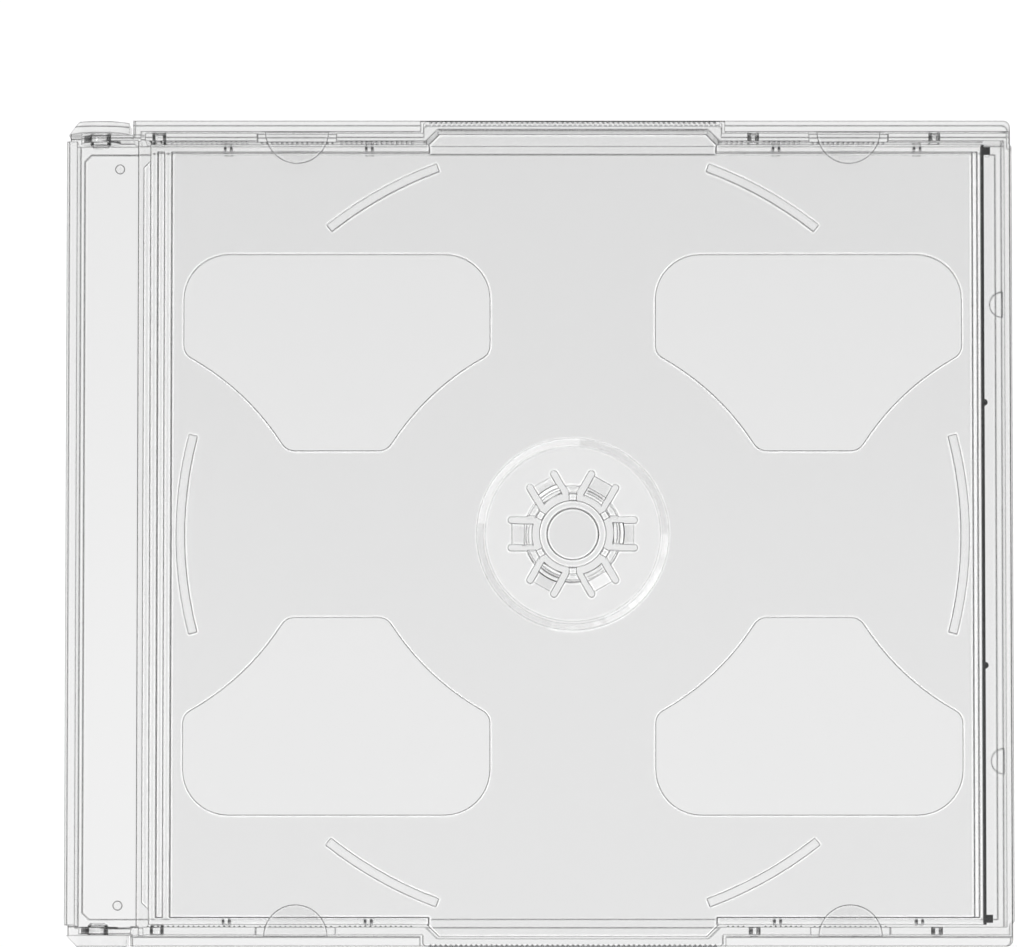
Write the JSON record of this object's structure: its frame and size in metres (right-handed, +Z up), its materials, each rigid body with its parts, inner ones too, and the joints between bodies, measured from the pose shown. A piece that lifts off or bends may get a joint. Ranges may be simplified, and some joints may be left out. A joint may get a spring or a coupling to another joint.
{
  "type": "double disc case",
  "caption": "Clear plastic case for discs: a back cover with the spine, a hinged front cover and a two-sided tray that swings up between them.",
  "frame": {"origin": "middle of the underside of the closed case, on the surface it lies on", "axes": "+X from the spine to the opening edge, +Y along the spine, +Z up, from the back cover to the front cover"},
  "size_m": [0.142, 0.124, 0.0104],
  "materials": {
    "clear_back": "clear gloss moulded polystyrene",
    "clear_front": "clear gloss moulded polystyrene",
    "clear_tray": "clear gloss moulded polystyrene, with a frosted seat round the hub"
  },
  "bodies": {
    "base": {"back_cover": "clear_back"},
    "cover": {"front_cover": "clear_front"},
    "tray": {"swing_tray": "clear_tray"}
  },
  "joints": [
    {"name": "cover_hinge", "type": "hinge", "parent": "base", "child": "cover", "pos_m": [-0.0662, 0, 0.0052], "axis": [0, -1, 0], "range_deg": [0, 180]},
    {"name": "tray_hinge", "type": "hinge", "parent": "base", "child": "tray", "pos_m": [-0.0573, 0, 0.0052], "axis": [0, -1, 0], "range_deg": [0, 130]}
  ],
  "couplings": [
    {"joint": "tray_hinge", "follows": "cover_hinge", "ratio": 0.72}
  ]
}
